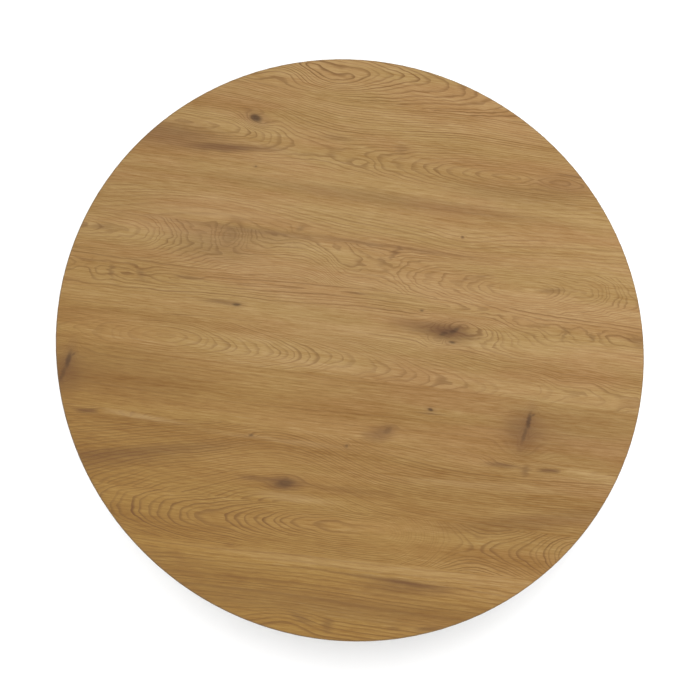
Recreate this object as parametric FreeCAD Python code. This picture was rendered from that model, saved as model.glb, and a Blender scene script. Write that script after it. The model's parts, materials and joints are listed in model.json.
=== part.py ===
import FreeCAD, Part

import math
import os

# A round pedestal dining table, in millimetres. +Z is up and +X runs along the grain of the top.
# The origin is on the floor, under the column's axis. A foil-wrapped board is bolted to a
# four-armed steel spider. One tie rod pulls the spider, the column and the ballast plate together,
# a spun steel cover and a flared collar hide the plate, and four screw glides level the table.

# ---------------------------------------------------------------- driving dimensions

TABLE_HEIGHT = 750.0
TOP_RADIUS = 600.0
TOP_THICKNESS = 25.0
BASE_RADIUS = 350.0
COLUMN_RADIUS = 50.0

# the board
RIM_LAND = 6.0              # upright part of the rim
BEVEL_WIDTH = 45.0          # how far the bevel runs in under the rim
RIM_ROUNDING = 2.0          # radius of the rim's upper edge
BEVEL_ROUNDING = 1.5        # radius between the upright rim and the bevel
FOIL_THICKNESS = 0.5
BACKING_THICKNESS = 0.6

# the spider
ARM_COUNT = 4
ARM_WIDTH = 40.0
ARM_HEIGHT = 25.0
ARM_WALL = 1.5
ARM_CORNER = 2.5
ARM_INNER_END = 28.0        # distance of the arm's inner end from the column's axis
ARM_OUTER_END = 380.0
ARM_BOLT_STATIONS = (150.0, 350.0)
CAP_FLANGE = 3.0
CAP_TONGUE = 15.0
CAP_CLEARANCE = 0.2
HUB_RADIUS = 90.0
HUB_THICKNESS = 6.0

# the column
COLUMN_WALL = 2.0
LOCATOR_CLEARANCE = 0.2     # between a locating ring and the inside of the column
LOCATOR_HEIGHT = 12.0
LOCATOR_WIDTH = 14.0

# the base
PLATE_LOW = 10.0            # underside of the ballast plate above the floor
PLATE_THICKNESS = 8.0
PLATE_RADIUS = 325.0
COVER_WALL = 2.0
COVER_LOW = 6.0             # lower edge of the cover above the floor
COVER_EDGE_TOP = 20.0       # where the upright edge would meet the cone, before rounding
COVER_EDGE_ROUNDING = 10.0
COVER_SLOPE = 6.0           # the cone's rise towards the column, in degrees
COVER_HOLE_RADIUS = 58.0
COLLAR_RADIUS = 112.0
COLLAR_FLARE = 50.0         # radius of the collar's flare, from its foot up to its neck
NECK_GAP = 2.0              # between the column and the inside of the neck
NECK_TOP = 112.0
SEAL_DEPTH = 8.0
SEAL_LIP = 2.0
STRIP_RADIUS = 312.0
STRIP_WIDTH = 12.0
STRIP_HEIGHT = 3.9

# the glides
GLIDE_COUNT = 4
GLIDE_CIRCLE = 285.0
GLIDE_PAD_RADIUS = 15.0
GLIDE_PAD_HEIGHT = 6.0
GLIDE_PAD_MOUTH = 8.0       # radius of the pad's opening around the hexagon
GLIDE_FLANGE_RADIUS = 11.0
GLIDE_FLANGE_LOW = 2.5
GLIDE_FLANGE_TOP = 5.0
GLIDE_HEXAGON = 13.0        # across flats
GLIDE_THREAD_RADIUS = 4.0
GLIDE_THREAD_LENGTH = 14.0
STOP_GAP = 0.3              # between the screwed-in hexagon and the plate

# fasteners
RUNNING_CLEARANCE = 0.05    # radial, between a thread and its hole
SLIP_CLEARANCE = 0.3        # radial, between a shank and a plain hole
BOLT_RADIUS = 3.0
BOLT_LENGTH = 40.0
BOLT_HEAD_RADIUS = 5.25
BOLT_HEAD_HEIGHT = 3.3
BOLT_SOCKET = 4.0           # across flats
BOLT_SOCKET_DEPTH = 2.0
BOLT_WASHER_RADIUS = 9.0
BOLT_WASHER_THICKNESS = 1.6
INSERT_RADIUS = 5.0
INSERT_DEPTH = 15.0
ROD_RADIUS = 6.0
ROD_LOW = 21.0
ROD_TOP = 716.0
ROD_CHAMFER = 1.0
ROD_WASHER_RADIUS = 12.0
ROD_WASHER_THICKNESS = 2.5
ROD_NUT_ACROSS = 19.0
ROD_NUT_HEIGHT = 10.8
ANCHOR_ACROSS = 24.0
ANCHOR_HEIGHT = 30.0

# ---------------------------------------------------------------- heights worked out from them

TOP_LOW = TABLE_HEIGHT - TOP_THICKNESS
LAND_LOW = TABLE_HEIGHT - RIM_LAND
ARM_LOW = TOP_LOW - ARM_HEIGHT
HUB_LOW = ARM_LOW - HUB_THICKNESS
PLATE_TOP = PLATE_LOW + PLATE_THICKNESS
LOCATOR_RADIUS = COLUMN_RADIUS - COLUMN_WALL - LOCATOR_CLEARANCE
NECK_RADIUS = COLUMN_RADIUS + NECK_GAP + COVER_WALL
GLIDE_STOP = PLATE_LOW - STOP_GAP

UP = FreeCAD.Vector(0, 0, 1)
AXIS = FreeCAD.Vector(0, 0, 0)


# ---------------------------------------------------------------- shapes used more than once

def corner_arc(before, corner, after, radius):
    """The arc of this radius that rounds a corner, with its first and last point."""
    to_before = (before - corner).normalize()
    to_after = (after - corner).normalize()
    half_angle = to_before.getAngle(to_after) / 2
    reach = radius / math.tan(half_angle)
    first = corner + to_before * reach
    last = corner + to_after * reach
    bisector = (to_before + to_after).normalize()
    middle = corner + bisector * (radius / math.sin(half_angle) - radius)
    return Part.Arc(first, middle, last).toShape(), first, last


def lathe(outline):
    """Turns a closed outline of (radius, height, rounding) corners once around the Z axis."""
    corners = [FreeCAD.Vector(radius, 0, height) for radius, height, _ in outline]
    arcs = []
    starts = []
    ends = []
    for index, (_, _, rounding) in enumerate(outline):
        corner = corners[index]
        if rounding:
            following = corners[(index + 1) % len(corners)]
            arc, first, last = corner_arc(corners[index - 1], corner, following, rounding)
        else:
            arc, first, last = None, corner, corner
        arcs.append(arc)
        starts.append(first)
        ends.append(last)
    edges = []
    for index, arc in enumerate(arcs):
        if arc is not None:
            edges.append(arc)
        following = starts[(index + 1) % len(starts)]
        edges.append(Part.LineSegment(ends[index], following).toShape())
    return Part.Face(Part.Wire(edges)).revolve(AXIS, UP, 360)


def cylinder(radius, low, high, x=0.0, y=0.0):
    """An upright cylinder between two heights."""
    return Part.makeCylinder(radius, high - low, FreeCAD.Vector(x, y, low))


def ring(outer, inner, low, high, x=0.0, y=0.0):
    """An upright tube or washer between two heights."""
    return cylinder(outer, low, high, x, y).cut(cylinder(inner, low, high, x, y))


def hexagon(across_flats, low, high, x=0.0, y=0.0):
    """An upright hexagonal prism between two heights."""
    across_corners = across_flats / math.cos(math.radians(30))
    corners = []
    for index in range(7):
        angle = math.radians(60 * index)
        dx = across_corners / 2 * math.cos(angle)
        dy = across_corners / 2 * math.sin(angle)
        corners.append(FreeCAD.Vector(x + dx, y + dy, low))
    return Part.Face(Part.makePolygon(corners)).extrude(UP * (high - low))


def rounded_bar(x_low, x_high, width, low, high, rounding):
    """A bar along +X, centred on the X axis, with its four long edges rounded."""
    bar = Part.makeBox(x_high - x_low, width, high - low, FreeCAD.Vector(x_low, -width / 2, low))
    long_edges = [edge for edge in bar.Edges if edge.Length == x_high - x_low]
    return bar.makeFillet(rounding, long_edges)


def turned(shape, degrees):
    """A copy of a shape, turned about the table's axis."""
    copy = shape.copy()
    copy.rotate(AXIS, UP, degrees)
    return copy


def arm_angle(number):
    """The direction of one spider arm, in degrees from +X."""
    return 360.0 / ARM_COUNT * (number - 1)


def bolt_places():
    """The centre (x, y) of each bolt that holds an arm to the board."""
    places = []
    for number in range(1, ARM_COUNT + 1):
        angle = math.radians(arm_angle(number))
        for station in ARM_BOLT_STATIONS:
            places.append((station * math.cos(angle), station * math.sin(angle)))
    return places


def glide_place(number):
    """The centre (x, y) of one glide: half-way between two arms."""
    angle = math.radians(arm_angle(number) + 180.0 / GLIDE_COUNT)
    return GLIDE_CIRCLE * math.cos(angle), GLIDE_CIRCLE * math.sin(angle)


# ---------------------------------------------------------------- the board

def board_outlines():
    """Outlines of the wrapped board and of the bare board inside its foil."""
    bevel_height = LAND_LOW - TOP_LOW
    bevel_length = math.hypot(BEVEL_WIDTH, bevel_height)
    bare_radius = TOP_RADIUS - FOIL_THICKNESS
    bare_land_low = LAND_LOW + FOIL_THICKNESS * (bevel_length - bevel_height) / BEVEL_WIDTH
    bare_bevel_foot = bare_radius - (bare_land_low - TOP_LOW) * BEVEL_WIDTH / bevel_height
    wrapped = [
        (0, TOP_LOW, 0),
        (TOP_RADIUS - BEVEL_WIDTH, TOP_LOW, 0),
        (TOP_RADIUS, LAND_LOW, BEVEL_ROUNDING),
        (TOP_RADIUS, TABLE_HEIGHT, RIM_ROUNDING),
        (0, TABLE_HEIGHT, 0),
    ]
    bare = [
        (0, TOP_LOW, 0),
        (bare_bevel_foot, TOP_LOW, 0),
        (bare_radius, bare_land_low, BEVEL_ROUNDING - FOIL_THICKNESS),
        (bare_radius, TABLE_HEIGHT - FOIL_THICKNESS, RIM_ROUNDING - FOIL_THICKNESS),
        (0, TABLE_HEIGHT - FOIL_THICKNESS, 0),
    ]
    return wrapped, bare


def insert_holes():
    """The blind holes under the board that hold the threaded inserts."""
    return [cylinder(INSERT_RADIUS, TOP_LOW, TOP_LOW + INSERT_DEPTH, x, y) for x, y in bolt_places()]


def board_parts():
    """The core, the decor foil over its face and rim, and the backing sheet under it."""
    wrapped, bare = board_outlines()
    bare_board = lathe(bare)
    backing_slab = cylinder(TOP_RADIUS, TOP_LOW, TOP_LOW + BACKING_THICKNESS)
    holes = insert_holes()
    return {
        "decor_foil": lathe(wrapped).cut(bare_board),
        "top_core": bare_board.cut([backing_slab] + holes),
        "backing_sheet": bare_board.common(backing_slab).cut(holes),
    }


def threaded_inserts():
    """Screw-in metal nuts in the board, one over each arm bolt."""
    bore = BOLT_RADIUS + RUNNING_CLEARANCE
    depth = TOP_LOW + INSERT_DEPTH
    return Part.makeCompound([ring(INSERT_RADIUS, bore, TOP_LOW, depth, x, y) for x, y in bolt_places()])


# ---------------------------------------------------------------- the spider

def spider_arm():
    """One rectangular steel tube along +X, drilled through for its bolts."""
    outside = rounded_bar(ARM_INNER_END, ARM_OUTER_END, ARM_WIDTH, ARM_LOW, TOP_LOW, ARM_CORNER)
    hollow = rounded_bar(
        ARM_INNER_END, ARM_OUTER_END, ARM_WIDTH - 2 * ARM_WALL,
        ARM_LOW + ARM_WALL, TOP_LOW - ARM_WALL, ARM_CORNER - ARM_WALL)
    slip_radius = BOLT_RADIUS + SLIP_CLEARANCE
    holes = [cylinder(slip_radius, ARM_LOW, TOP_LOW, station) for station in ARM_BOLT_STATIONS]
    return outside.cut([hollow] + holes)


def arm_cap():
    """The plastic plug in the outer end of the arm along +X."""
    flange = rounded_bar(
        ARM_OUTER_END, ARM_OUTER_END + CAP_FLANGE, ARM_WIDTH, ARM_LOW, TOP_LOW, ARM_CORNER)
    shrink = ARM_WALL + CAP_CLEARANCE
    tongue = rounded_bar(
        ARM_OUTER_END - CAP_TONGUE, ARM_OUTER_END, ARM_WIDTH - 2 * shrink,
        ARM_LOW + shrink, TOP_LOW - shrink, ARM_CORNER - shrink)
    return flange.fuse(tongue).removeSplitter()


def hub_plate():
    """The steel disc that the arms are welded to, with a slip hole for the tie rod."""
    return ring(HUB_RADIUS, ROD_RADIUS + SLIP_CLEARANCE, HUB_LOW, ARM_LOW)


def arm_bolts():
    """Button-head socket bolts that go up through the arms into the inserts."""
    bolts = []
    shank_low = ARM_LOW - BOLT_WASHER_THICKNESS
    head_low = shank_low - BOLT_HEAD_HEIGHT
    dome = BOLT_HEAD_HEIGHT * 0.6
    for x, y in bolt_places():
        head = lathe([(0, head_low, 0), (BOLT_HEAD_RADIUS, head_low, dome), (BOLT_HEAD_RADIUS, shank_low, 0),
                      (0, shank_low, 0)])
        head.translate(FreeCAD.Vector(x, y, 0))
        shank = cylinder(BOLT_RADIUS, shank_low, shank_low + BOLT_LENGTH, x, y)
        socket = hexagon(BOLT_SOCKET, head_low, head_low + BOLT_SOCKET_DEPTH, x, y)
        bolts.append(head.fuse(shank).cut(socket))
    return Part.makeCompound(bolts)


def arm_washers():
    """The washers under the heads of the arm bolts."""
    low = ARM_LOW - BOLT_WASHER_THICKNESS
    bore = BOLT_RADIUS + SLIP_CLEARANCE
    return Part.makeCompound([ring(BOLT_WASHER_RADIUS, bore, low, ARM_LOW, x, y) for x, y in bolt_places()])


# ---------------------------------------------------------------- the column and its tie rod

def column_tube():
    """The round steel tube between the ballast plate and the hub plate."""
    return ring(COLUMN_RADIUS, COLUMN_RADIUS - COLUMN_WALL, PLATE_TOP, HUB_LOW)


def locator(low):
    """A ring welded inside one end of the column's seat, which keeps the column central."""
    return ring(LOCATOR_RADIUS, LOCATOR_RADIUS - LOCATOR_WIDTH, low, low + LOCATOR_HEIGHT)


def tie_rod():
    """The threaded rod down the middle of the column, chamfered at both ends."""
    rod = cylinder(ROD_RADIUS, ROD_LOW, ROD_TOP)
    rims = [edge for edge in rod.Edges if edge.BoundBox.ZLength < 1]
    return rod.makeChamfer(ROD_CHAMFER, rims)


def rod_anchor():
    """The long nut welded to the ballast plate, which the tie rod screws into."""
    body = hexagon(ANCHOR_ACROSS, PLATE_TOP, PLATE_TOP + ANCHOR_HEIGHT)
    return body.cut(cylinder(ROD_RADIUS + RUNNING_CLEARANCE, PLATE_TOP, PLATE_TOP + ANCHOR_HEIGHT))


def tie_rod_washer():
    """The flat washer on the hub plate."""
    return ring(ROD_WASHER_RADIUS, ROD_RADIUS + SLIP_CLEARANCE, ARM_LOW, ARM_LOW + ROD_WASHER_THICKNESS)


def tie_rod_nut():
    """The nut that pulls the whole pedestal together."""
    low = ARM_LOW + ROD_WASHER_THICKNESS
    high = low + ROD_NUT_HEIGHT
    return hexagon(ROD_NUT_ACROSS, low, high).cut(cylinder(ROD_RADIUS + RUNNING_CLEARANCE, low, high))


# ---------------------------------------------------------------- the base

def ballast_plate():
    """The heavy steel disc that keeps the table upright, tapped for the glides."""
    plate = cylinder(PLATE_RADIUS, PLATE_LOW, PLATE_TOP)
    taps = []
    for number in range(1, GLIDE_COUNT + 1):
        x, y = glide_place(number)
        taps.append(cylinder(GLIDE_THREAD_RADIUS, PLATE_LOW, PLATE_TOP, x, y))
    return plate.cut(taps)


def cone_height(radius):
    """The height of the cover's conical upper face at this distance from the axis."""
    return COVER_EDGE_TOP + (BASE_RADIUS - radius) * math.tan(math.radians(COVER_SLOPE))


def wall_drop():
    """The cover's wall, measured straight down through its cone."""
    return COVER_WALL / math.cos(math.radians(COVER_SLOPE))


def base_cover():
    """The spun steel cover: an upright edge and a shallow cone with a hole for the column."""
    inner_edge = BASE_RADIUS - COVER_WALL
    return lathe([
        (BASE_RADIUS, COVER_LOW, 0),
        (BASE_RADIUS, COVER_EDGE_TOP, COVER_EDGE_ROUNDING),
        (COVER_HOLE_RADIUS, cone_height(COVER_HOLE_RADIUS), 0),
        (COVER_HOLE_RADIUS, cone_height(COVER_HOLE_RADIUS) - wall_drop(), 0),
        (inner_edge, cone_height(inner_edge) - wall_drop(), COVER_EDGE_ROUNDING - COVER_WALL),
        (inner_edge, COVER_LOW, 0),
    ])


def column_collar():
    """The spun collar that stands on the cover and flares up to a neck around the column."""
    inner_neck = NECK_RADIUS - COVER_WALL
    return lathe([
        (COLLAR_RADIUS, cone_height(COLLAR_RADIUS), 0),
        (COLLAR_RADIUS, cone_height(COLLAR_RADIUS) + wall_drop(), COVER_WALL / 2),
        (NECK_RADIUS, cone_height(NECK_RADIUS) + wall_drop(), COLLAR_FLARE),
        (NECK_RADIUS, NECK_TOP, 0),
        (inner_neck, NECK_TOP, 0),
        (inner_neck, cone_height(inner_neck), COLLAR_FLARE + COVER_WALL),
    ])


def neck_seal():
    """The rubber ring that fills the gap around the column and laps over the neck's edge."""
    inner_neck = NECK_RADIUS - COVER_WALL
    lip_rounding = SEAL_LIP * 0.6
    return lathe([
        (COLUMN_RADIUS, NECK_TOP - SEAL_DEPTH, 0),
        (inner_neck, NECK_TOP - SEAL_DEPTH, 0),
        (inner_neck, NECK_TOP, 0),
        (NECK_RADIUS, NECK_TOP, 0),
        (NECK_RADIUS, NECK_TOP + SEAL_LIP, lip_rounding),
        (COLUMN_RADIUS, NECK_TOP + SEAL_LIP, 0),
    ])


def cover_strip():
    """The foam strip on the plate that the cover rests on."""
    return ring(STRIP_RADIUS, STRIP_RADIUS - STRIP_WIDTH, PLATE_TOP, PLATE_TOP + STRIP_HEIGHT)


# ---------------------------------------------------------------- the glides

def glide_stud(x, y):
    """The steel part of a glide: flange, hexagon for a spanner, and threaded stud."""
    stud_radius = GLIDE_THREAD_RADIUS - RUNNING_CLEARANCE
    flange = cylinder(GLIDE_FLANGE_RADIUS, GLIDE_FLANGE_LOW, GLIDE_FLANGE_TOP, x, y)
    spanner_flats = hexagon(GLIDE_HEXAGON, GLIDE_FLANGE_TOP, GLIDE_STOP, x, y)
    stud = cylinder(stud_radius, GLIDE_STOP, GLIDE_STOP + GLIDE_THREAD_LENGTH, x, y)
    return flange.fuse([spanner_flats, stud]).removeSplitter()


def glide_pad(x, y):
    """The plastic cup that snaps over the flange and stands on the floor."""
    cup = lathe([
        (0, 0, 0),
        (GLIDE_PAD_RADIUS, 0, 1.5),
        (GLIDE_PAD_RADIUS, GLIDE_PAD_HEIGHT, 1.0),
        (0, GLIDE_PAD_HEIGHT, 0),
    ])
    cup.translate(FreeCAD.Vector(x, y, 0))
    pocket_radius = GLIDE_FLANGE_RADIUS + RUNNING_CLEARANCE
    pocket = cylinder(pocket_radius, GLIDE_FLANGE_LOW, GLIDE_FLANGE_TOP, x, y)
    mouth = cylinder(GLIDE_PAD_MOUTH, GLIDE_FLANGE_TOP, GLIDE_PAD_HEIGHT, x, y)
    return cup.cut([pocket, mouth])


# ---------------------------------------------------------------- the whole table

def table_nodes():
    """Every node of the table, by name."""
    nodes = board_parts()
    nodes["threaded_inserts"] = threaded_inserts()
    nodes["hub_plate"] = hub_plate()
    for number in range(1, ARM_COUNT + 1):
        nodes[f"spider_arm_{number}"] = turned(spider_arm(), arm_angle(number))
        nodes[f"arm_cap_{number}"] = turned(arm_cap(), arm_angle(number))
    nodes["arm_bolts"] = arm_bolts()
    nodes["arm_washers"] = arm_washers()
    nodes["head_locator"] = locator(HUB_LOW - LOCATOR_HEIGHT)
    nodes["column_tube"] = column_tube()
    nodes["tie_rod"] = tie_rod()
    nodes["tie_rod_washer"] = tie_rod_washer()
    nodes["tie_rod_nut"] = tie_rod_nut()
    nodes["foot_locator"] = locator(PLATE_TOP)
    nodes["rod_anchor"] = rod_anchor()
    nodes["ballast_plate"] = ballast_plate()
    nodes["base_cover"] = base_cover()
    nodes["column_collar"] = column_collar()
    nodes["neck_seal"] = neck_seal()
    nodes["cover_strip"] = cover_strip()
    for number in range(1, GLIDE_COUNT + 1):
        x, y = glide_place(number)
        nodes[f"glide_stud_{number}"] = glide_stud(x, y)
        nodes[f"glide_pad_{number}"] = glide_pad(x, y)
    return nodes


os.makedirs("parts", exist_ok=True)
for name, shape in table_nodes().items():
    assert shape.isValid(), name
    shape.exportStep(f"parts/{name}.step")
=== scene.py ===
import json
import math
from typing import NamedTuple

import bpy
from mathutils import Matrix, Vector


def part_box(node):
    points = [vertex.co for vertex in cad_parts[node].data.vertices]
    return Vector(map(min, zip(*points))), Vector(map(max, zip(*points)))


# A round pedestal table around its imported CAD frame, in metres: +X along the grain of the top, +Z up.
# The frame keeps every shape. This script gives each surface its material and builds the studio:
# a pale floor, soft lights, and a camera that looks almost straight down on the oak top.

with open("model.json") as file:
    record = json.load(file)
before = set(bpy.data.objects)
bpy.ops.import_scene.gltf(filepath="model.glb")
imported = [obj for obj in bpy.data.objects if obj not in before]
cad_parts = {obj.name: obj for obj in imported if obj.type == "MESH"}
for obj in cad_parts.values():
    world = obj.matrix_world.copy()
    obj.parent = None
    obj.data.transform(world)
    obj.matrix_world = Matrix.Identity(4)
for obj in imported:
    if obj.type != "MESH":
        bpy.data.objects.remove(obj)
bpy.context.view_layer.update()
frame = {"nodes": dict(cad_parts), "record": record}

TOP_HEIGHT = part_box("decor_foil")[1].z
TOP_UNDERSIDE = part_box("decor_foil")[0].z
TOP_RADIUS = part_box("decor_foil")[1].x


# ---------------------------------------------------------------- colours and node graphs

def srgb(red, green, blue):
    """A colour given as 0-255 screen values, as the linear colour that a shader takes."""
    linear = []
    for value in (red, green, blue):
        share = value / 255
        linear.append(share / 12.92 if share <= 0.04045 else ((share + 0.055) / 1.055) ** 2.4)
    return (*linear, 1.0)


def even(size):
    """A size that is the same in all three directions."""
    return (size, size, size)


SEED_STEP = Vector((7.3, 3.1, 5.7))     # each seed moves its noise this much further


class Graph:
    """A node tree. Each method adds nodes and returns the socket with their result."""

    def __init__(self, tree):
        self.tree = tree

    def node(self, kind, values, **settings):
        """Adds a node, with its first inputs linked or set."""
        node = self.tree.nodes.new(kind)
        for name, setting in settings.items():
            setattr(node, name, setting)
        for value, socket in zip(values, node.inputs):
            self.put(value, socket)
        return node

    def put(self, value, socket):
        """Links a socket to an input, or sets the input to a plain value."""
        if isinstance(value, bpy.types.NodeSocket):
            self.tree.links.new(value, socket)
        elif value is not None:
            socket.default_value = value

    def math(self, operation, *values):
        return self.node("ShaderNodeMath", values, operation=operation).outputs[0]

    def add(self, a, b):
        return self.math("ADD", a, b)

    def subtract(self, a, b):
        return self.math("SUBTRACT", a, b)

    def multiply(self, a, b):
        return self.math("MULTIPLY", a, b)

    def from_axis(self, position):
        """The distance of a place from the column's axis."""
        flat = self.node("ShaderNodeVectorMath", (position, (1, 1, 0)), operation="MULTIPLY").outputs[0]
        return self.node("ShaderNodeVectorMath", (flat,), operation="LENGTH").outputs["Value"]

    def split(self, vector):
        return self.node("ShaderNodeSeparateXYZ", (vector,)).outputs

    def join(self, x, y, z):
        return self.node("ShaderNodeCombineXYZ", (x, y, z)).outputs[0]

    def ramp(self, value, start, end, low=0.0, high=1.0):
        """A smooth step: low up to start, high from end on."""
        values = (value, start, end, low, high)
        return self.node("ShaderNodeMapRange", values, interpolation_type="SMOOTHSTEP").outputs[0]

    def slope(self, value, start, end, low=0.0, high=1.0):
        """A straight slope: low up to start, high from end on."""
        return self.node("ShaderNodeMapRange", (value, start, end, low, high)).outputs[0]

    def blend(self, share, a, b):
        """Mixes two numbers."""
        node = self.node("ShaderNodeMix", (share,), data_type="FLOAT")
        self.put(a, node.inputs[2])
        self.put(b, node.inputs[3])
        return node.outputs[0]

    def blend_triple(self, share, a, b):
        """Mixes two triples of numbers."""
        node = self.node("ShaderNodeMix", (share,), data_type="VECTOR")
        self.put(a, node.inputs[4])
        self.put(b, node.inputs[5])
        return node.outputs[1]

    def mix(self, share, a, b):
        """Mixes two colours."""
        node = self.node("ShaderNodeMix", (share,), data_type="RGBA")
        self.put(a, node.inputs[6])
        self.put(b, node.inputs[7])
        return node.outputs[2]

    def noise(self, position, size, seed, detail=2.0, roughness=0.5):
        """Noise from 0 to 1, about 0.5, with features of this (x, y, z) size in metres."""
        scale = Vector((1 / size[0], 1 / size[1], 1 / size[2]))
        offset = SEED_STEP * seed
        placed = self.node("ShaderNodeMapping", (position, offset, (0, 0, 0), scale)).outputs[0]
        return self.node("ShaderNodeTexNoise", (placed, None, 1.0, detail, roughness)).outputs["Fac"]

    def wobble(self, position, size, seed, reach, detail=2.0):
        """Noise about 0, half of `reach` to each side at most."""
        return self.multiply(self.subtract(self.noise(position, size, seed, detail), 0.5), reach)


class Surface(Graph):
    """The node tree of one material, with its shader."""

    def __init__(self, name):
        self.material = bpy.data.materials.new(name)
        self.material.use_nodes = True
        super().__init__(self.material.node_tree)
        self.tree.nodes.clear()
        self.shader = self.tree.nodes.new("ShaderNodeBsdfPrincipled")
        output = self.tree.nodes.new("ShaderNodeOutputMaterial")
        self.tree.links.new(self.shader.outputs[0], output.inputs[0])
        self.position = self.tree.nodes.new("ShaderNodeTexCoord").outputs["Object"]

    def bump(self, height, distance):
        """Lets the light see a relief of this height in metres."""
        node = self.node("ShaderNodeBump", ())
        self.put(distance, node.inputs["Distance"])
        self.put(height, node.inputs["Height"])
        self.put(node.outputs[0], self.shader.inputs["Normal"])

    def finish(self, colour, roughness, metallic=0.0, specular=0.5):
        self.put(colour, self.shader.inputs["Base Color"])
        self.put(roughness, self.shader.inputs["Roughness"])
        self.put(metallic, self.shader.inputs["Metallic"])
        self.put(specular, self.shader.inputs["Specular IOR Level"])
        return self.material


# ---------------------------------------------------------------- the oak decor

OAK_YELLOW = srgb(158, 127, 78)
OAK_RED = srgb(158, 122, 77)
# the more golden colour of the painted shade towards -Y and -X
OAK_PAINTED_SHADE_GOLD = srgb(158, 122, 60)
OAK_LIGHT = srgb(182, 152, 106)
OAK_DARK = srgb(128, 88, 36)
OAK_LATE = srgb(106, 70, 36)
OAK_STAIN = srgb(92, 58, 34)
OAK_HALO = srgb(108, 74, 50)
OAK_KNOT = srgb(50, 33, 24)
# the darker, greyer colour of the painted edge shade and foil wear along the top's rounded edge
OAK_EDGE_SHADE_AND_WEAR = srgb(112, 92, 66)

RIM_LAND = 0.006            # height of the board's upright rim
BEVEL_WIDTH = 0.045         # how far the bevel runs in under it
SMALLEST_RADIUS = 0.1       # nearer to the axis the foil is flat, and nothing is divided by zero
PRINT_LENGTH = 0.932        # the print repeats after this length along the grain
PRINT_SHIFT = -0.007        # and moves across the grain by this much each time
CURVE_REACH = 0.70          # the curves of the leaves run this far to both sides
DEEPEST = 0.16              # and hold depths up to this one
FURTHEST = 0.80             # and pith lines up to this far across the grain
RINGS_APART = 17.3          # ring counts of neighbouring leaves differ by this, so no two are alike
EDGE_SHADE_REACH = 0.0035         # painted edge shade and foil wear reach this near to the top's edge

# How strongly each kind of mark shows, from 0 to 1.
LINE_STRENGTH = 0.70
PORE_STRENGTH = 0.25
HALO_STRENGTH = 0.35
EDGE_SHADE_AND_WEAR_STRENGTH = 0.55

# How much lighter or darker the wood is along its bands, its streaks and its fibres.
BAND_CONTRAST = 0.75
STREAK_CONTRAST = 0.75
FIBRE_CONTRAST = 0.7

# Two curves that several leaves share, given as (x, metres) for some places along the grain.
EVEN_DEPTH = ((-0.7, 0.030), (0.7, 0.030))
FAR_PITH = ((-0.7, 0.010), (-0.35, 0.032), (-0.10, 0.020), (0.20, 0.004), (0.50, 0.030), (0.7, 0.035))
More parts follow.
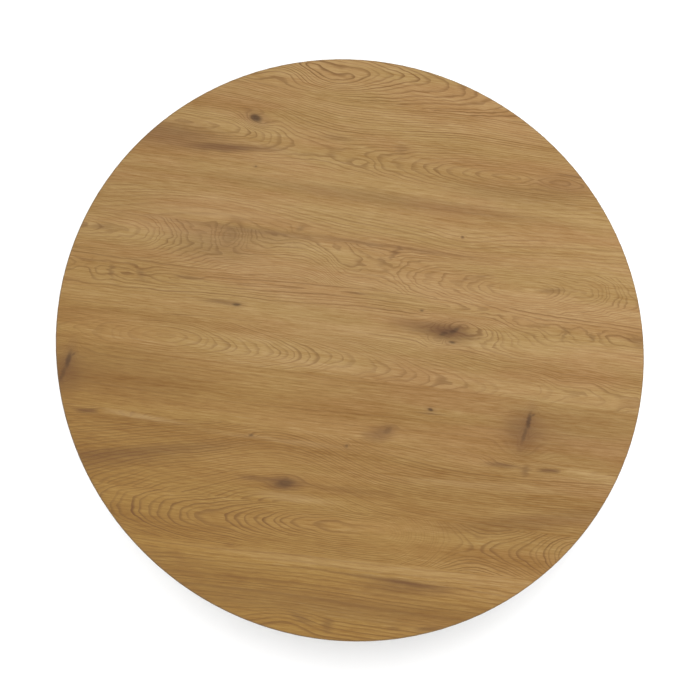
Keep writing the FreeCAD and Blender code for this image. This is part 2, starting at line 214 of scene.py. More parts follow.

# The veneer leaves of the print, from the near rim (-Y) to the far one. `edge` is
# where a leaf begins. Each was cut from a log, whose pith lies under the leaf along the curve
# `pith` and at the depths of the curve `depth`. Growth rings are `ring` wide, so a level pith draws
# straight lines and a sloping one nested arches that point to where it is deeper. `contrast` is how
# dark the late wood is, `waver` how much the lines waver, and `tone` makes the leaf lighter or
# darker.
LEAVES = (
    {"edge": -0.600, "ring": 0.0085, "contrast": 0.95, "waver": 0.5, "tone": -0.14,
     "pith": ((-0.7, -0.74), (0.0, -0.72), (0.7, -0.75)),
     "depth": EVEN_DEPTH},
    {"edge": -0.466, "ring": 0.0085, "contrast": 0.60, "waver": 0.5, "tone": -0.12,
     "pith": ((-0.7, -0.60), (0.0, -0.62), (0.7, -0.60)),
     "depth": EVEN_DEPTH},
    {"edge": -0.438, "ring": 0.0027, "contrast": 1.30, "waver": 0.3, "tone": -0.12,
     "pith": ((-0.7, -0.375), (-0.43, -0.383), (0.15, -0.384), (0.45, -0.390), (0.7, -0.390)),
     "depth": ((-0.7, 0.120), (-0.43, 0.078), (-0.15, 0.044), (0.05, 0.028), (0.16, 0.058), (0.27, 0.092),
               (0.30, 0.092), (0.50, 0.058), (0.7, 0.045))},
    {"edge": -0.346, "ring": 0.0050, "contrast": 0.90, "waver": 0.4, "tone": -0.16,
     "pith": ((-0.7, -0.372), (-0.30, -0.372), (-0.12, -0.345), (0.10, -0.395), (0.7, -0.390)),
     "depth": ((-0.7, 0.150), (-0.50, 0.100), (-0.30, 0.042), (-0.20, 0.018), (-0.10, 0.004), (0.7, 0.0))},
    {"edge": -0.200, "ring": 0.0070, "contrast": 0.40, "waver": 0.5, "tone": -0.14,
     "pith": ((-0.7, -0.400), (-0.3, -0.430), (0.2, -0.420), (0.7, -0.400)),
     "depth": ((-0.7, 0.040), (0.7, 0.040))},
    {"edge": -0.078, "ring": 0.0022, "contrast": 0.75, "waver": 0.3, "tone": 0.00,
     "pith": ((-0.7, -0.052), (-0.35, -0.046), (0.0, -0.052), (0.24, -0.058), (0.7, -0.060)),
     "depth": ((-0.7, 0.062), (-0.50, 0.046), (-0.375, 0.036), (-0.30, 0.042), (0.0, 0.076), (0.30, 0.096),
               (0.7, 0.112))},
    {"edge": 0.004, "ring": 0.0062, "contrast": 0.90, "waver": 1.0, "tone": 0.04,
     "pith": ((-0.7, 0.072), (-0.40, 0.078), (0.0, 0.098), (0.20, 0.088), (0.35, 0.072), (0.532, 0.071),
              (0.7, 0.075)),
     "depth": ((-0.7, 0.016), (-0.54, 0.006), (-0.40, 0.002), (0.20, 0.0), (0.24, 0.004), (0.39, 0.006),
               (0.7, 0.002))},
    {"edge": 0.108, "ring": 0.0038, "contrast": 0.80, "waver": 0.8, "tone": 0.05,
     "pith": ((-0.7, 0.155), (-0.45, 0.165), (-0.33, 0.165), (-0.278, 0.183), (-0.20, 0.215), (-0.10, 0.215),
              (-0.03, 0.172), (0.03, 0.160), (0.10, 0.147), (0.40, 0.150), (0.454, 0.158), (0.7, 0.160)),
     "depth": ((-0.7, 0.032), (-0.60, 0.022), (-0.50, 0.030), (-0.46, 0.036), (-0.33, 0.070), (-0.28, 0.073),
               (-0.20, 0.052), (-0.10, 0.047), (0.03, 0.058), (0.10, 0.047), (0.20, 0.032), (0.36, 0.017),
               (0.43, 0.030), (0.472, 0.036), (0.60, 0.070), (0.7, 0.072))},
    {"edge": 0.201, "ring": 0.0085, "contrast": 0.65, "waver": 0.5, "tone": 0.03,
     "pith": FAR_PITH,
     "depth": EVEN_DEPTH},
    {"edge": 0.262, "ring": 0.0085, "contrast": 0.40, "waver": 0.5, "tone": 0.00,
     "pith": FAR_PITH,
     "depth": EVEN_DEPTH},
    {"edge": 0.345, "ring": 0.0042, "contrast": 1.00, "waver": 0.5, "tone": 0.00,
     "pith": ((-0.7, 0.400), (-0.30, 0.405), (-0.10, 0.387), (0.20, 0.387), (0.345, 0.386), (0.7, 0.390)),
     "depth": ((-0.7, 0.030), (-0.42, 0.014), (-0.33, 0.018), (-0.105, 0.052), (-0.085, 0.052),
               (0.08, 0.034), (0.345, 0.006), (0.45, 0.016), (0.7, 0.040))},
    {"edge": 0.510, "ring": 0.0060, "contrast": 1.25, "waver": 0.6, "tone": 0.05,
     "pith": ((-0.7, 0.560), (-0.10, 0.567), (0.15, 0.564), (0.7, 0.560)),
     "depth": ((-0.7, 0.100), (-0.20, 0.018), (-0.11, 0.004), (0.0, 0.022), (0.13, 0.050), (0.7, 0.110))},
)


class Mark(NamedTuple):
    """An elliptical mark of the print: its centre and half sizes in metres, its turn in degrees.

    Each list of marks says what the amount is.
    """
    x: float
    y: float
    half_length: float
    half_width: float
    turn: float
    amount: float


# Places where the lines bend aside. The amount is how far they move in +Y.
BENDS = [Mark(*row) for row in (
    (-0.215, 0.545, 0.080, 0.040, 0, 0.020),
    (-0.100, 0.545, 0.085, 0.045, 0, -0.020),
    (0.050, 0.558, 0.090, 0.042, 0, 0.014),
    (-0.256, 0.455, 0.100, 0.030, 0, 0.008),
    (-0.320, 0.235, 0.290, 0.065, 0, 0.020),
    (0.200, 0.240, 0.110, 0.060, 0, -0.012),
    (-0.085, -0.570, 0.110, 0.040, 0, 0.018),
    (-0.280, 0.040, 0.120, 0.050, 0, 0.006),
    (0.350, -0.190, 0.090, 0.040, 0, -0.014),
    (0.350, -0.085, 0.090, 0.040, 0, 0.014),
    (-0.582, -0.183, 0.090, 0.040, 0, -0.014),
)]

# Swirls, where the rings close round a knot or a burl. The amount is how many rings there are.
SWIRLS = [Mark(*row) for row in (
    (0.240, 0.058, 0.120, 0.042, 0, 9.0),
    (0.370, 0.066, 0.060, 0.026, 10, 2.6),
    (0.430, 0.068, 0.030, 0.030, 20, 1.6),
    (0.485, 0.074, 0.055, 0.020, 0, 2.2),
    (-0.450, -0.211, 0.080, 0.010, 0, 2.4),
    (0.320, -0.219, 0.070, 0.012, -3, 2.6),
    (-0.350, 0.083, 0.045, 0.012, 0, 1.5),
    (-0.256, 0.437, 0.060, 0.026, -10, 4.0),
    (-0.278, 0.181, 0.045, 0.038, 60, 4.5),
    (0.345, 0.386, 0.060, 0.026, 0, 2.5),
    (-0.110, -0.306, 0.060, 0.024, 8, 2.0),
    (-0.020, 0.377, 0.040, 0.014, 0, 1.5),
)]

# Knots. The amount is their darkness.
KNOTS = [Mark(*row) for row in (
    (0.177, 0.037, 0.013, 0.005, 25, 0.48),
    (0.196, 0.046, 0.014, 0.006, 35, 0.55),
    (0.185, 0.041, 0.022, 0.012, 30, 0.22),
    (-0.256, 0.437, 0.015, 0.009, -15, 0.75),
    (-0.278, 0.180, 0.020, 0.018, 0, 0.10),
    (-0.565, -0.114, 0.006, 0.021, -8, 0.56),
    (-0.572, -0.143, 0.005, 0.022, -12, 0.36),
    (-0.557, -0.101, 0.007, 0.0025, 40, 0.40),
    (0.163, -0.123, 0.006, 0.004, 0, 0.70),
    (-0.112, -0.306, 0.022, 0.009, 12, 0.38),
    (0.081, -0.176, 0.012, 0.006, 40, 0.22),
    (0.195, 0.021, 0.008, 0.003, 0, 0.60),
    (-0.191, -0.218, 0.006, 0.003, 0, 0.40),
    (0.002, -0.217, 0.004, 0.004, 0, 0.40),
    (0.196, 0.245, 0.003, 0.002, 0, 0.50),
    (0.127, 0.078, 0.004, 0.002, 0, 0.50),
    (-0.245, 0.334, 0.003, 0.002, 0, 0.50),
    (-0.250, 0.041, 0.010, 0.004, 5, 0.60),
    (-0.140, 0.215, 0.010, 0.006, 30, 0.20),
)]

# Stains and streaks. The amount is positive where they are darker than the wood.
STAINS = [Mark(*row) for row in (
    (0.150, 0.044, 0.090, 0.018, -2, 0.50),
    (0.195, 0.040, 0.060, 0.028, 0, 0.35),
    (-0.290, 0.367, 0.110, 0.010, 6, 0.55),
    (-0.430, 0.378, 0.140, 0.032, 0, 0.42),
    (0.300, 0.350, 0.180, 0.030, 0, 0.18),
    (0.400, 0.385, 0.080, 0.026, 0, 0.22),
    (0.060, 0.303, 0.400, 0.018, 0, 0.24),
    (-0.230, 0.198, 0.260, 0.006, 0, 0.20),
    (0.040, 0.204, 0.220, 0.005, 0, 0.35),
    (-0.085, 0.418, 0.035, 0.007, 0, 0.25),
    (0.052, 0.415, 0.018, 0.013, 0, 0.25),
    (0.420, 0.409, 0.050, 0.004, 0, 0.35),
    (-0.310, 0.165, 0.110, 0.045, 0, 0.26),
    (-0.205, 0.190, 0.100, 0.018, 0, 0.20),
    (-0.540, 0.163, 0.035, 0.008, 8, 0.35),
    (0.060, 0.190, 0.020, 0.006, 60, 0.45),
    (0.035, 0.168, 0.012, 0.012, 60, 0.25),
    (0.235, 0.163, 0.035, 0.006, 22, 0.20),
    (-0.350, 0.083, 0.032, 0.005, 0, 0.40),
    (-0.280, 0.042, 0.040, 0.006, 2, 0.45),
    (-0.012, 0.096, 0.025, 0.003, 0, 0.35),
    (-0.505, 0.075, 0.006, 0.018, 0, 0.35),
    (-0.447, 0.078, 0.008, 0.010, 30, 0.35),
    (-0.574, -0.140, 0.046, 0.052, 0, 0.34),
    (-0.560, -0.130, 0.090, 0.060, 0, 0.14),
    (0.500, -0.130, 0.150, 0.060, 0, 0.12),
    (0.067, -0.183, 0.038, 0.018, 20, 0.45),
    (0.165, -0.131, 0.030, 0.002, 0, 0.50),
    (-0.116, -0.307, 0.040, 0.017, 4, 0.50),
    (-0.165, -0.302, 0.050, 0.006, 3, 0.40),
    (0.000, -0.305, 0.120, 0.010, 0, 0.15),
    (0.320, -0.217, 0.042, 0.006, 0, 0.50),
    (0.368, -0.223, 0.016, 0.010, 60, 0.45),
    (0.425, -0.216, 0.030, 0.006, 10, 0.45),
    (-0.518, -0.208, 0.030, 0.007, 4, 0.30),
    (-0.400, -0.275, 0.260, 0.012, 11, 0.28),
    (0.420, -0.318, 0.240, 0.020, 11, 0.26),
    (0.120, -0.472, 0.120, 0.007, -3, 0.42),
    (0.150, -0.483, 0.110, 0.018, 4, 0.36),
    (0.000, -0.535, 0.420, 0.030, 0, 0.28),
    (-0.300, -0.490, 0.240, 0.035, 0, 0.14),
    (-0.050, -0.565, 0.030, 0.008, -20, 0.35),
    (0.000, -0.573, 0.014, 0.016, 10, 0.35),
    (0.130, -0.563, 0.016, 0.004, 0, 0.35),
    (0.200, -0.558, 0.030, 0.005, 10, 0.40),
    (-0.330, 0.222, 0.200, 0.016, 2, -0.40),
    (-0.420, -0.208, 0.140, 0.008, -3, -0.40),
    (-0.120, -0.222, 0.200, 0.008, 0, -0.30),
    (0.300, -0.262, 0.260, 0.014, 3, -0.30),
    (-0.090, -0.333, 0.110, 0.012, 0, -0.35),
    (0.050, -0.450, 0.420, 0.014, 0, -0.30),
    (0.140, 0.392, 0.160, 0.010, 0, -0.25),
    (0.360, 0.140, 0.180, 0.014, 0, -0.20),
)]

# Quiet places, where the growth lines fade by the amount. They don't repeat.
CALMS = [Mark(*row) for row in (
    (-0.120, 0.030, 0.260, 0.030, 2, 0.75),
    (-0.460, -0.046, 0.110, 0.034, 0, 0.55),
    (0.450, 0.030, 0.180, 0.025, 0, 0.60),
    (-0.480, 0.025, 0.150, 0.025, 0, 0.50),
    (0.420, -0.070, 0.160, 0.020, 0, 0.40),
    (0.300, -0.050, 0.100, 0.026, 0, 0.45),
    (0.150, -0.385, 0.130, 0.045, 0, 0.75),
    (0.320, 0.152, 0.075, 0.026, 0, 0.65),
    (0.000, 0.330, 0.400, 0.030, 0, 0.30),
)]


def with_repeats(marks):
    """The marks of the print and their copies one print length away that fall on the table."""
    found = []
    for mark in marks:
        for repeat in (-1, 0, 1):
            x = mark.x + repeat * PRINT_LENGTH
            y = mark.y + repeat * PRINT_SHIFT
            if math.hypot(x, y) < TOP_RADIUS:
                found.append(mark._replace(x=x, y=y))
    return found


def print_position(graph):
    """The place on the flat sheet of foil. Past the rim it goes on along the rim and the bevel."""
    x, y, z = graph.split(graph.position)
    land_low = TOP_HEIGHT - RIM_LAND
    bevel_length = math.hypot(BEVEL_WIDTH, land_low - TOP_UNDERSIDE)
    past_rim = graph.slope(z, TOP_HEIGHT, land_low, 0.0, RIM_LAND)
    # the bevel runs back in by its width, which the flat sheet doesn't
    past_land = graph.slope(z, land_low, TOP_UNDERSIDE, 0.0, bevel_length + BEVEL_WIDTH)
    radius = graph.math("MAXIMUM", graph.from_axis(graph.position), SMALLEST_RADIUS)
    spread = graph.add(1.0, graph.math("DIVIDE", graph.add(past_rim, past_land), radius))
    return graph.join(graph.multiply(x, spread), graph.multiply(y, spread), 0.0)


def mark_distance():
    """A node group: the distance of a place from the centre of an elliptical mark, 1 on its outline."""
    tree = bpy.data.node_groups.new("mark_distance", "ShaderNodeTree")
    for name in ("X", "Y", "Centre X", "Centre Y", "Half length", "Half width", "Turn"):
        tree.interface.new_socket(name, in_out="INPUT", socket_type="NodeSocketFloat")
    tree.interface.new_socket("Distance", in_out="OUTPUT", socket_type="NodeSocketFloat")
    graph = Graph(tree)
    x, y, centre_x, centre_y, half_length, half_width, turn, _ = graph.node("NodeGroupInput", ()).outputs
    x = graph.subtract(x, centre_x)
    y = graph.subtract(y, centre_y)
    cosine = graph.math("COSINE", turn)
    sine = graph.math("SINE", turn)
    along = graph.add(graph.multiply(x, cosine), graph.multiply(y, sine))
    across = graph.subtract(graph.multiply(y, cosine), graph.multiply(x, sine))
    along = graph.math("DIVIDE", along, half_length)
    across = graph.math("DIVIDE", across, half_width)
    squares = graph.add(graph.multiply(along, along), graph.multiply(across, across))
    graph.node("NodeGroupOutput", (graph.math("SQRT", squares),))
    return tree


MARK_DISTANCE = mark_distance()


def spot(graph, place, mark):
    """The distance of a place (x, y) from a mark's centre: 1 on its outline."""
    node = graph.tree.nodes.new("ShaderNodeGroup")
    node.node_tree = MARK_DISTANCE
    outline = (mark.x, mark.y, mark.half_length, mark.half_width, math.radians(mark.turn))
    for value, socket in zip((*place, *outline), node.inputs):
        graph.put(value, socket)
    return node.outputs[0]


def leaf_curve(graph, along, points, low, high):
    """A curve through some places of a leaf, as a share of the span from low to high."""
    node = graph.node("ShaderNodeFloatCurve", (1.0, along))
    curve = node.mapping.curves[0]
    places = [((x + CURVE_REACH) / (2 * CURVE_REACH), (value - low) / (high - low)) for x, value in points]
    curve.points[0].location = places[0]
    curve.points[1].location = places[-1]
    for place in places[1:-1]:
        curve.points.new(*place)
    node.mapping.update()
    return node.outputs[0]


def leaf_values(graph, flat, x, y):
    """The values of the leaf that each place lies in: pith, depth, number, ring, contrast, tone, waver."""
    along = graph.slope(x, -CURVE_REACH, CURVE_REACH)
    leaf_y = graph.add(y, graph.wobble(flat, (0.200, 0.100, 1), seed=12, reach=0.010))
    shape = (0.0, 0.0, 0.0)
    look = (0.0, 0.0, 0.0)
    waver = 0.0
    for number, leaf in enumerate(LEAVES):
        pith = leaf_curve(graph, along, leaf["pith"], -FURTHEST, FURTHEST)
        depth = leaf_curve(graph, along, leaf["depth"], 0.0, DEEPEST)
        above = graph.math("GREATER_THAN", leaf_y, leaf["edge"]) if number else 1.0
        shape = graph.blend_triple(above, shape, graph.join(pith, depth, number))
        look = graph.blend_triple(above, look, (leaf["ring"], leaf["contrast"], leaf["tone"]))
        waver = graph.blend(above, waver, leaf["waver"])
    pith, depth, number = graph.split(shape)
    pith = graph.slope(pith, 0.0, 1.0, -FURTHEST, FURTHEST)
    depth = graph.multiply(depth, DEEPEST)
    return (pith, depth, number, *graph.split(look), waver)


def late_wood(graph, flat, x, y, grain_y, swirls):
    """The dark line at the end of each growth ring, from 0 to its strength, and the leaf's tone."""
    pith, depth, number, ring, contrast, tone, waver = leaf_values(graph, flat, x, y)

    # rings are counted outwards from the pith, and both its depth and the count waver
    slow = graph.wobble(flat, (0.120, 0.070, 1), seed=4, reach=0.012, detail=1.0)
    quick = graph.wobble(flat, (0.035, 0.016, 1), seed=5, reach=1.0, detail=1.0)
    quick = graph.multiply(quick, waver)
    depth = graph.add(depth, graph.add(slow, graph.multiply(quick, 0.006)))
    across = graph.subtract(grain_y, pith)
    squares = graph.add(graph.multiply(across, across), graph.multiply(depth, depth))
    count = graph.math("DIVIDE", graph.math("SQRT", squares), ring)
    count = graph.add(graph.add(count, graph.multiply(number, RINGS_APART)), swirls)
    count = graph.add(count, graph.multiply(quick, 0.7))

    # some rings are wider than others, and some darker
    uneven = graph.node("ShaderNodeTexNoise", (None, count, 0.6, 0.0), noise_dimensions="1D")
    count = graph.add(count, graph.multiply(uneven.outputs["Fac"], 0.8))
    ring_number = graph.math("FLOOR", count)
    each_ring = graph.node("ShaderNodeTexWhiteNoise", (None, ring_number), noise_dimensions="1D")
    strength = graph.multiply(contrast, graph.blend(each_ring.outputs[0], 0.50, 1.0))

    # the line darkens from the middle of its ring on, and ends sharply at the ring's edge
    share = graph.math("FRACT", count)
    late = graph.multiply(graph.ramp(share, 0.45, 0.85), graph.ramp(share, 1.0, 0.90))
    return graph.multiply(late, strength), tone


def grain_lines(graph, x, y, drift, trembling):
    """Where the lines run: each place's y before they bend aside, and the rings that swirls add."""
    grain_y = graph.subtract(y, drift)
    for mark in with_repeats(BENDS):
        near = graph.ramp(spot(graph, (x, y), mark), 1.0, 0.0)
        grain_y = graph.subtract(grain_y, graph.multiply(near, mark.amount))

    # the lines part round a knot: the wood beside it belongs to the line through its centre
    for mark in with_repeats(KNOTS):
        near = graph.ramp(spot(graph, trembling, mark), 3.4, 0.8, 0.0, 0.8)
        grain_y = graph.blend(near, grain_y, mark.y)

    swirls = 0.0
    for mark in with_repeats(SWIRLS):
        rings = graph.ramp(spot(graph, trembling, mark), 1.2, -0.2, 0.0, mark.amount)
        swirls = graph.add(swirls, rings)
    return grain_y, swirls


def knots(graph, trembling):
    """How dark the knots are, and the wood round them."""
    core = 0.0
    halo = 0.0
    for mark in with_repeats(KNOTS):
        distance = spot(graph, trembling, mark)
        core = graph.math("MAXIMUM", graph.ramp(distance, 1.25, 0.30, 0.0, mark.amount), core)
        halo = graph.math("MAXIMUM", graph.ramp(distance, 3.0, 0.8, 0.0, mark.amount), halo)
    return core, halo


def stains(graph, wavering, streak):
    """How much darker (or, below 0, lighter) the stains make each place, along its fibres."""
    stain = 0.0
    for mark in with_repeats(STAINS):
        distance = spot(graph, wavering, mark)
        stain = graph.add(stain, graph.ramp(distance, 1.35, 0.15, 0.0, mark.amount))
    return graph.multiply(stain, graph.blend(0.5, 1.0, graph.multiply(streak, 2.0)))


def line_fading(graph, flat, wavering):
    """How much of the growth lines is left at each place."""
    fading = graph.ramp(graph.noise(flat, (0.150, 0.030, 1), seed=6), 0.30, 0.65, 0.60, 1.0)
    for mark in CALMS:
        distance = spot(graph, wavering, mark)
        fading = graph.multiply(fading, graph.ramp(distance, 1.3, 0.5, 1.0, 1.0 - mark.amount))
    return fading


def turned_edge_shade_and_wear(graph):
    """The strip of painted edge shade and foil wear, from 0 to 1, where the foil turns down over the rim."""
    _, _, height = graph.split(graph.position)
    radius = graph.from_axis(graph.position)
    outer = graph.ramp(radius, TOP_RADIUS - EDGE_SHADE_REACH, TOP_RADIUS - 0.0010)
    upper = graph.ramp(height, TOP_HEIGHT - EDGE_SHADE_REACH, TOP_HEIGHT - 0.0015)
    return graph.multiply(outer, upper)


def oak_decor():
    """Printed wild oak on a matt foil: growth rings leaf by leaf, knots, stains, fibres and pores, with
    painted shade towards -X and -Y and along the rounded edge.
    """
    graph = Surface("oak_decor")
    flat = print_position(graph)
    x, y, _ = graph.split(flat)

    # the outlines of the marks waver with the fibres, those of knots and swirls less along the grain
    waver_x = graph.wobble(flat, (0.030, 0.006, 1), seed=1, reach=1.0, detail=3.0)
    waver_y = graph.wobble(flat, (0.040, 0.012, 1), seed=2, reach=0.008, detail=3.0)
    wavering = (graph.add(x, graph.multiply(waver_x, 0.030)), graph.add(y, waver_y))
    trembling = (graph.add(x, graph.multiply(waver_x, 0.007)), graph.add(y, waver_y))

    # the growth lines
    drift = graph.wobble(flat, (0.500, 0.150, 1), seed=3, reach=0.030, detail=1.0)
    grain_y, swirls = grain_lines(graph, x, y, drift, trembling)
    late, tone = late_wood(graph, flat, x, y, grain_y, swirls)
    line = graph.multiply(late, line_fading(graph, flat, wavering))

    # streaks, fibres and pores
    band = graph.noise(flat, (0.600, 0.045, 1), seed=7, detail=3.0, roughness=0.55)
    streak = graph.noise(flat, (0.050, 0.0024, 1), seed=8, detail=3.0, roughness=0.65)
    fibre = graph.noise(flat, (0.025, 0.0012, 1), seed=9)
    pore = graph.ramp(graph.noise(flat, (0.009, 0.0007, 1), seed=10, detail=1.0), 0.60, 0.72)
    hue = graph.noise(flat, (0.300, 0.050, 1), seed=11)

    # painted shade: the wood is made more golden towards -Y and -X and a little darker towards -X, as if the
    # light fell from +X and +Y
    colour = graph.mix(graph.ramp(hue, 0.35, 0.65), OAK_YELLOW, OAK_RED)
    painted_shade_corner = graph.add(y, graph.multiply(x, 0.45))
    colour = graph.mix(graph.slope(painted_shade_corner, 0.0, -0.60, 0.0, 0.90), colour, OAK_PAINTED_SHADE_GOLD)
    lightness = graph.add(graph.multiply(graph.subtract(band, 0.5), BAND_CONTRAST), tone)
    lightness = graph.add(lightness, graph.slope(x, -0.15, -0.60, 0.0, -0.12))
    lightness = graph.add(lightness, graph.multiply(graph.subtract(streak, 0.5), STREAK_CONTRAST))
    lightness = graph.add(lightness, graph.multiply(graph.subtract(fibre, 0.5), FIBRE_CONTRAST))
    colour = graph.mix(graph.slope(lightness, 0.0, 0.5), colour, OAK_LIGHT)
    colour = graph.mix(graph.slope(lightness, 0.0, -0.5), colour, OAK_DARK)
    colour = graph.mix(graph.multiply(line, LINE_STRENGTH), colour, OAK_LATE)
    colour = graph.mix(graph.multiply(pore, PORE_STRENGTH), colour, OAK_LATE)

    # the marks on it
    stain = stains(graph, wavering, streak)
    colour = graph.mix(graph.ramp(stain, 0.0, -1.0), colour, OAK_LIGHT)
    colour = graph.mix(graph.slope(stain, 0.0, 1.0), colour, OAK_STAIN)
    core, halo = knots(graph, trembling)
    colour = graph.mix(graph.multiply(halo, HALO_STRENGTH), colour, OAK_HALO)
    colour = graph.mix(core, colour, OAK_KNOT)
    # painted shade on the strip where the foil turns down over the rounded edge, darker and greyer, with
    # some foil wear
    colour = graph.mix(graph.multiply(turned_edge_shade_and_wear(graph), EDGE_SHADE_AND_WEAR_STRENGTH), colour, OAK_EDGE_SHADE_AND_WEAR)

    relief = graph.subtract(graph.multiply(fibre, 0.6), graph.multiply(pore, 0.8))
    graph.bump(relief, 0.00008)
    roughness = graph.add(0.55, graph.multiply(graph.subtract(fibre, 0.5), 0.25))
    return graph.finish(colour, roughness, specular=0.15)


# ---------------------------------------------------------------- the other materials

ROUGHNESS_SPREAD = 0.08     # of the plain surfaces, to each side
NECK_RADIUS = 0.054         # of the collar round the column
HALF_WALL = 0.001           # of the collar, whose foot is rubbed in the middle of its edge
BASE_EDGE_INSET = 0.003     # the middle of the base's rounded edge is this far in from its outline
BASE_EDGE_HEIGHT = 0.0175   # and this high above the floor

# The radius and height of the round edges in powder coat: hub plate, neck, collar's foot, base.
COAT_EDGES = (
    (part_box("hub_plate")[1].x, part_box("hub_plate")[0].z),
    (NECK_RADIUS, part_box("column_collar")[1].z),
    (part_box("column_collar")[1].x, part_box("column_collar")[0].z + HALF_WALL),
    (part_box("base_cover")[1].x - BASE_EDGE_INSET, BASE_EDGE_HEIGHT),
)


def powder_coat():
    """Fine-textured black powder coat, rubbed at the round edges and scuffed by shoes on the base."""
    graph = Surface("black_powder_coat")
    _, _, height = graph.split(graph.position)
    radius = graph.from_axis(graph.position)
    peel = graph.noise(graph.position, even(0.0035), seed=1, detail=1.0)
    grain = graph.noise(graph.position, even(0.0009), seed=2)
    cloud = graph.noise(graph.position, even(0.12), seed=3, detail=3.0)
    patch = graph.noise(graph.position, (0.030, 0.030, 0.006), seed=4, detail=3.0, roughness=0.6)
    smear = graph.noise(graph.position, (0.050, 0.016, 0.050), seed=5, detail=4.0, roughness=0.65)

    rubbed = 0.0
    for ring_radius, ring_height in COAT_EDGES:
        out = graph.subtract(radius, ring_radius)
        up = graph.subtract(height, ring_height)
        distance = graph.math("SQRT", graph.add(graph.multiply(out, out), graph.multiply(up, up)))
        rubbed = graph.math("MAXIMUM", graph.ramp(distance, 0.0055, 0.0), rubbed)
    rubbed = graph.multiply(rubbed, graph.ramp(patch, 0.25, 0.75))

    # shoes scuff the low outer part of the base
    on_base = graph.multiply(graph.ramp(height, 0.060, 0.030), graph.ramp(radius, 0.140, 0.300))
    scuffed = graph.multiply(on_base, graph.ramp(smear, 0.52, 0.70))

    colour = graph.mix(graph.ramp(cloud, 0.3, 0.7), srgb(34, 34, 35), srgb(43, 43, 44))
    colour = graph.mix(graph.multiply(scuffed, 0.30), colour, srgb(92, 90, 87))
    colour = graph.mix(graph.multiply(rubbed, 0.45), colour, srgb(98, 98, 100))
    graph.bump(graph.add(graph.multiply(peel, 0.7), graph.multiply(grain, 0.3)), 0.0004)
    roughness = graph.ramp(cloud, 0.3, 0.7, 0.46, 0.58)
    roughness = graph.subtract(roughness, graph.multiply(rubbed, 0.12))
    return graph.finish(colour, roughness)


def plain(name, dark, light, size, roughness, metallic=0.0, relief=0.0001):
    """A slightly uneven surface, for the small and hidden pieces."""
    graph = Surface(name)
    grain = graph.noise(graph.position, size, seed=1, detail=3.0)
    colour = graph.mix(graph.ramp(grain, 0.3, 0.7), dark, light)
    graph.bump(grain, relief)
    smoothest = roughness - ROUGHNESS_SPREAD
    roughest = roughness + ROUGHNESS_SPREAD
    return graph.finish(colour, graph.ramp(grain, 0.3, 0.7, smoothest, roughest), metallic)


MATERIALS = {
    "oak_decor": oak_decor(),
    "board_core": plain("board_core", srgb(128, 96, 64), srgb(158, 124, 88), even(0.002), 0.85),
    "backing": plain("backing", srgb(156, 152, 144), srgb(168, 164, 156), (0.03, 0.008, 0.01), 0.65,
                     relief=0.00004),
    "black_steel": powder_coat(),
    "bare_steel": plain("bare_steel", srgb(92, 92, 94), srgb(126, 126, 128), even(0.03), 0.45, 0.9),
    "zinc": plain("zinc", srgb(176, 178, 182), srgb(204, 206, 210), even(0.004), 0.32, 1.0),
    "black_fastener": plain("black_fastener", srgb(30, 30, 32), srgb(48, 48, 50), even(0.002), 0.38, 0.8),
    "black_plastic": plain("black_plastic", srgb(32, 32, 32), srgb(42, 42, 42), even(0.001), 0.55),
    "black_rubber": plain("black_rubber", srgb(24, 24, 24), srgb(36, 36, 36), even(0.002), 0.75),
    "foam": plain("foam", srgb(60, 60, 60), srgb(90, 90, 90), even(0.0015), 0.95),
    "pad_plastic": plain("pad_plastic", srgb(34, 34, 34), srgb(46, 46, 46), even(0.001), 0.60),
}

for part in frame["record"]["subparts"]:
    for slot in frame["nodes"][part["node"]].material_slots:
        slot.material = MATERIALS[part["material_slot"]]


# ---------------------------------------------------------------- the studio

# Angles in degrees, lengths in metres, and the lens and sensor in millimetres.
CAMERA_AZIMUTH = -28.318
CAMERA_ELEVATION = 76.384
CAMERA_ROLL = 35.0
CAMERA_DISTANCE = 3.3349
CAMERA_AIM = Vector((-0.0119, -0.0220, TOP_HEIGHT))
CAMERA_LENS = 85
SENSOR_WIDTH = 36
FLOOR_SIZE = 40.0


def add_camera():
    """The camera at the photograph's viewing angle, rolled as the photograph is."""
    azimuth = math.radians(CAMERA_AZIMUTH)
    elevation = math.radians(CAMERA_ELEVATION)
    back = Vector((
        math.sin(azimuth) * math.cos(elevation),
        -math.cos(azimuth) * math.cos(elevation),
        math.sin(elevation)))
    level = Vector((math.cos(azimuth), math.sin(azimuth), 0))
    right = Matrix.Rotation(math.radians(CAMERA_ROLL), 3, back) @ level
    up = back.cross(right)
    camera = bpy.data.objects.new("camera", bpy.data.cameras.new("camera"))
    camera.data.lens = CAMERA_LENS
    camera.data.sensor_width = SENSOR_WIDTH
    turn = Matrix((right, up, back)).transposed().to_4x4()
    camera.matrix_world = Matrix.Translation(CAMERA_AIM + back * CAMERA_DISTANCE) @ turn
    bpy.context.scene.collection.objects.link(camera)
    bpy.context.scene.camera = camera


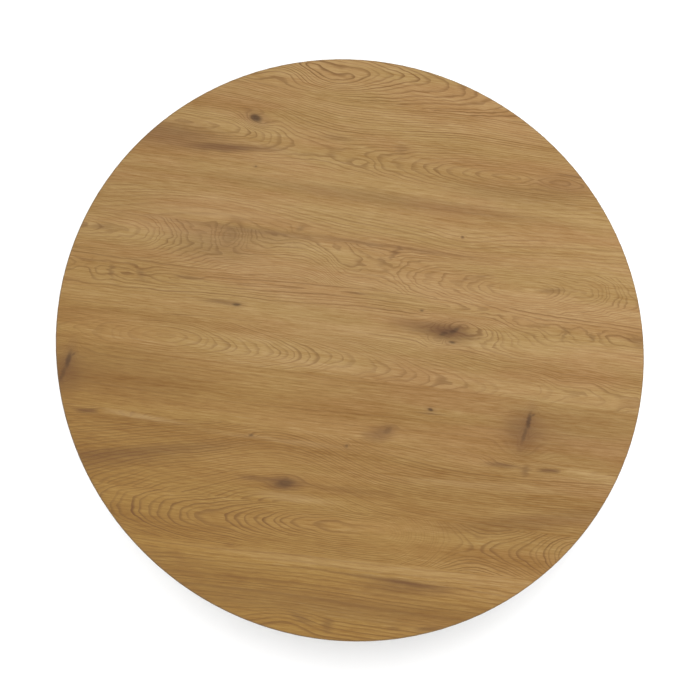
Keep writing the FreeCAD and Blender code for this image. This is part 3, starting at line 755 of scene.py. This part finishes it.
def add_floor():
    """A plain pale floor."""
    graph = Surface("pale_floor")
    mottle = graph.noise(graph.position, even(0.8), seed=1, detail=3.0)
    colour = graph.mix(graph.ramp(mottle, 0.3, 0.7), (0.95, 0.95, 0.95, 1), (0.96, 0.96, 0.96, 1))
    material = graph.finish(colour, 0.8, specular=0.1)
    half = FLOOR_SIZE / 2
    mesh = bpy.data.meshes.new("floor")
    corners = [(-half, -half, 0), (half, -half, 0), (half, half, 0), (-half, half, 0)]
    mesh.from_pydata(corners, [], [(0, 1, 2, 3)])
    mesh.materials.append(material)
    floor = bpy.data.objects.new("floor", mesh)
    bpy.context.scene.collection.objects.link(floor)


def add_light(name, place, aim, size, power):
    """A square soft box that faces a point."""
    light = bpy.data.lights.new(name, "AREA")
    light.shape = "SQUARE"
    light.size = size
    light.energy = power
    lamp = bpy.data.objects.new(name, light)
    lamp.location = place
    lamp.rotation_mode = "QUATERNION"
    lamp.rotation_quaternion = (Vector(aim) - Vector(place)).to_track_quat("-Z", "Y")
    bpy.context.scene.collection.objects.link(lamp)


def add_sun(name, place, angle, power):
    """A far soft light that shines from a place towards the origin."""
    light = bpy.data.lights.new(name, "SUN")
    light.angle = math.radians(angle)
    light.energy = power
    lamp = bpy.data.objects.new(name, light)
    lamp.location = place
    lamp.rotation_mode = "QUATERNION"
    lamp.rotation_quaternion = (-Vector(place)).to_track_quat("-Z", "Y")
    bpy.context.scene.collection.objects.link(lamp)


def add_world(overhead, horizon):
    """A pale surround, brighter towards the horizon."""
    world = bpy.data.worlds.new("surround")
    world.use_nodes = True
    graph = Graph(world.node_tree)
    direction = graph.node("ShaderNodeTexCoord", ()).outputs["Generated"]
    height = graph.math("MAXIMUM", graph.split(direction)[2], 0.0)
    share = graph.math("POWER", graph.subtract(1.0, height), 3.0)
    background = world.node_tree.nodes["Background"]
    background.inputs["Color"].default_value = (1, 1, 1, 1)
    graph.put(graph.blend(share, overhead, horizon), background.inputs["Strength"])
    bpy.context.scene.world = world


add_camera()
add_floor()
add_world(overhead=0.30, horizon=0.95)
add_sun("key", place=(-2.1, -0.15, 12.0), angle=17, power=2.25)
add_light("side", place=(2.7, 1.5, 2.3), aim=(0, 0, 0.6), size=2.0, power=50)
bpy.context.scene.view_settings.view_transform = "Standard"
